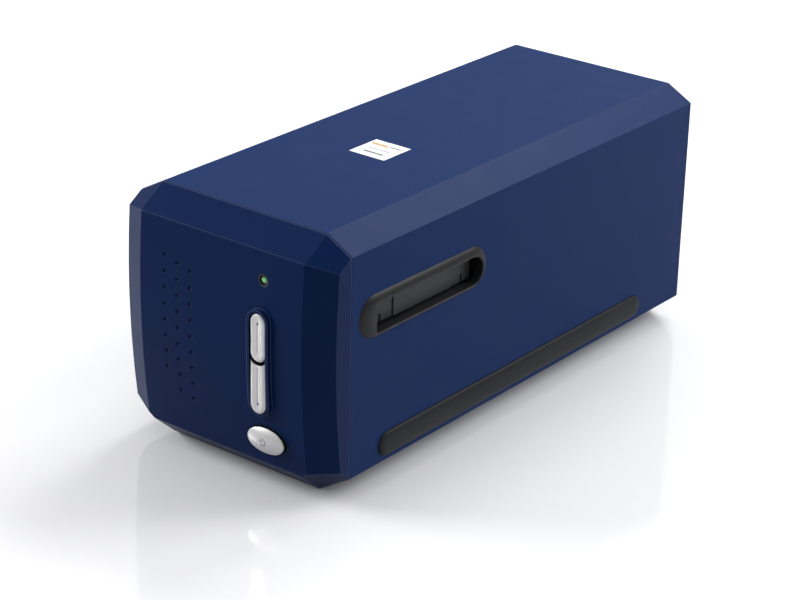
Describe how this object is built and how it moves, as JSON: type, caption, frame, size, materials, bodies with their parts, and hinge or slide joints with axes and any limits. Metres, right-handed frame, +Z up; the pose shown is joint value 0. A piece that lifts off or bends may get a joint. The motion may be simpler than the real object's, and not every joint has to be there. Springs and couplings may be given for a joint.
{
  "type": "film negative scanner",
  "caption": "Desktop film negative scanner: long eight-sided casing with side film slots behind hinged dust doors, sprung buttons and a sliding scanning carriage inside.",
  "frame": {"origin": "middle of the object's box, on the table under the feet", "axes": "+Z up, -Y towards the front cover with the buttons, +X towards the right side wall"},
  "size_m": [0.12, 0.2742, 0.119],
  "materials": {
    "front_blue": "moulded plastic in dark metallic blue, satin",
    "casing_blue": "moulded plastic in dark metallic blue, satin",
    "bezel_grey": "fine-grained dark grey",
    "door_grey": "fine-grained dark grey",
    "strip_grey": "matt dark grey rubber",
    "foot_rubber": "matt black rubber",
    "label_white": "smooth printed film",
    "button_silver": "silver satin",
    "light_green": "clear green, polished",
    "black_plastic": "matt black",
    "black_metal": "black anodised",
    "board_green": "solder mask",
    "chassis_grey": "moulded, fine-grained",
    "carriage_black": "glass-filled, matt",
    "bushing_brass": "turned",
    "lamp_white": "white, smooth",
    "mirror": "front-silvered",
    "lens_glass": "polished, coated",
    "belt_rubber": "matt black",
    "motor_metal": "zinc grey",
    "bracket_steel": "zinc-plated sheet",
    "gear_white": "natural acetal",
    "steel": "ground and bright",
    "spring_steel": "drawn wire",
    "capacitor_metal": "sleeved can",
    "socket_metal": "tinned shell",
    "ribbon_white": "flexible flat cable"
  },
  "bodies": {
    "casing": {"front_cover": "front_blue", "main_housing": "casing_blue", "bottom_cover": "casing_blue", "rear_panel": "casing_blue", "slot_bezel_right": "bezel_grey", "slot_bezel_left": "bezel_grey", "door_hinge_pin_right": "steel", "door_hinge_pin_left": "steel", "door_spring_right": "spring_steel", "door_spring_left": "spring_steel", "rubber_strip_right": "strip_grey", "rubber_strip_left": "strip_grey", "rubber_feet": "foot_rubber", "top_label": "label_white", "switch_bodies": "black_plastic", "button_board": "board_green", "status_light_pipe": "light_green", "status_light_ring": "black_plastic", "status_led": "light_green", "chassis": "chassis_grey", "film_guide": "black_plastic", "main_guide_rod": "steel", "second_guide_rod": "steel", "drive_belt": "belt_rubber", "stepper_motor": "motor_metal", "motor_bracket": "bracket_steel", "gear_axle": "steel", "idler_bracket": "bracket_steel", "main_board": "board_green", "board_chips": "black_plastic", "board_capacitors": "capacitor_metal", "usb_socket": "socket_metal", "power_jack": "black_plastic", "home_sensor": "black_plastic", "ribbon_cable": "ribbon_white", "case_screws": "steel", "inner_screws": "steel"},
    "upper_button": {"scan_button_upper": "button_silver", "upper_switch_stem": "black_plastic"},
    "lower_button": {"scan_button_lower": "button_silver", "lower_switch_stem": "black_plastic"},
    "power_key": {"power_button": "button_silver", "power_switch_stem": "black_plastic"},
    "right_door": {"dust_door_right": "door_grey"},
    "left_door": {"dust_door_left": "door_grey"},
    "carriage": {"carriage_frame": "carriage_black", "carriage_bushings": "bushing_brass", "lamp_reflector": "lamp_white", "lamp_board": "board_green", "lamp_diffuser": "lamp_white", "mirror": "mirror", "lens_holder": "black_plastic", "lens_barrel": "black_metal", "lens_elements": "lens_glass", "sensor_board": "board_green", "line_sensor": "black_plastic", "belt_clamp": "carriage_black"},
    "drive_gear": {"reduction_gear": "gear_white"},
    "idler_wheel": {"idler_pulley": "gear_white"},
    "pinion": {"motor_pinion": "bushing_brass"}
  },
  "joints": [
    {"name": "upper_button_press", "type": "slide", "parent": "casing", "child": "upper_button", "axis": [0, 1, 0], "range_m": [0, 0.0008], "stiffness_N_per_m": 1200, "springref_m": -0.0004},
    {"name": "lower_button_press", "type": "slide", "parent": "casing", "child": "lower_button", "axis": [0, 1, 0], "range_m": [0, 0.0008], "stiffness_N_per_m": 1200, "springref_m": -0.0004},
    {"name": "power_button_press", "type": "slide", "parent": "casing", "child": "power_key", "axis": [0, 1, 0], "range_m": [0, 0.0008], "stiffness_N_per_m": 1200, "springref_m": -0.0004},
    {"name": "right_door_hinge", "type": "hinge", "parent": "casing", "child": "right_door", "pos_m": [0.0532, -0.06715, 0.0884], "axis": [0, 1, 0], "range_deg": [0, 85], "stiffness_Nm_per_rad": 0.004, "springref_deg": -14.32, "deforming": ["door_spring_right"]},
    {"name": "left_door_hinge", "type": "hinge", "parent": "casing", "child": "left_door", "pos_m": [-0.0532, -0.06715, 0.0884], "axis": [0, -1, 0], "range_deg": [0, 85], "stiffness_Nm_per_rad": 0.004, "springref_deg": -14.32, "deforming": ["door_spring_left"]},
    {"name": "carriage_slide", "type": "slide", "parent": "casing", "child": "carriage", "axis": [0, 1, 0], "range_m": [0, 0.03], "deforming": ["ribbon_cable"]},
    {"name": "drive_gear_spin", "type": "hinge", "parent": "casing", "child": "drive_gear", "pos_m": [-0.033, 0.1, 0.046], "axis": [1, 0, 0], "range_deg": [-262, 1]},
    {"name": "idler_spin", "type": "hinge", "parent": "casing", "child": "idler_wheel", "pos_m": [-0.0315, 0.012, 0.046], "axis": [1, 0, 0], "range_deg": [-262, 1]},
    {"name": "pinion_spin", "type": "hinge", "parent": "casing", "child": "pinion", "pos_m": [-0.043, 0.1, 0.0684], "axis": [1, 0, 0], "range_deg": [-3, 655]}
  ],
  "couplings": [
    {"joint": "drive_gear_spin", "follows": "carriage_slide", "rad_per_m": -151.51},
    {"joint": "idler_spin", "follows": "carriage_slide", "rad_per_m": -151.51},
    {"joint": "pinion_spin", "follows": "carriage_slide", "rad_per_m": 378.79}
  ]
}
